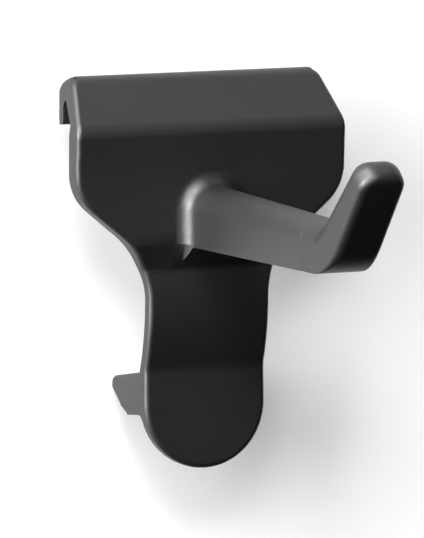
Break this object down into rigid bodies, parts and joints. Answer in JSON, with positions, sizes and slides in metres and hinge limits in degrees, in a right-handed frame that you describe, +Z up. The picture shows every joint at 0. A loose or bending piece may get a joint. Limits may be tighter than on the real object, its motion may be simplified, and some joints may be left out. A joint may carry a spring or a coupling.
{
  "type": "rail utility hook",
  "caption": "One-piece moulded hook that clips onto a horizontal wall rail by a top lip and a springy lower tooth, with a tapered arm that turns up at its tip",
  "frame": {"origin": "in the plane of the plate's back face, at the middle of its width and level with the rail's top edge, where that edge seats in the slot under the head's lip", "axes": "+Z up, +X to the right of someone facing the hook, -Y out of the wall along the arm, +Y into the wall"},
  "size_m": [0.054, 0.0907, 0.0724],
  "materials": {
    "hook_plastic": "black moulded plastic with a very fine satin grain"
  },
  "bodies": {
    "root": {"rail_hook": "hook_plastic"}
  },
  "joints": []
}
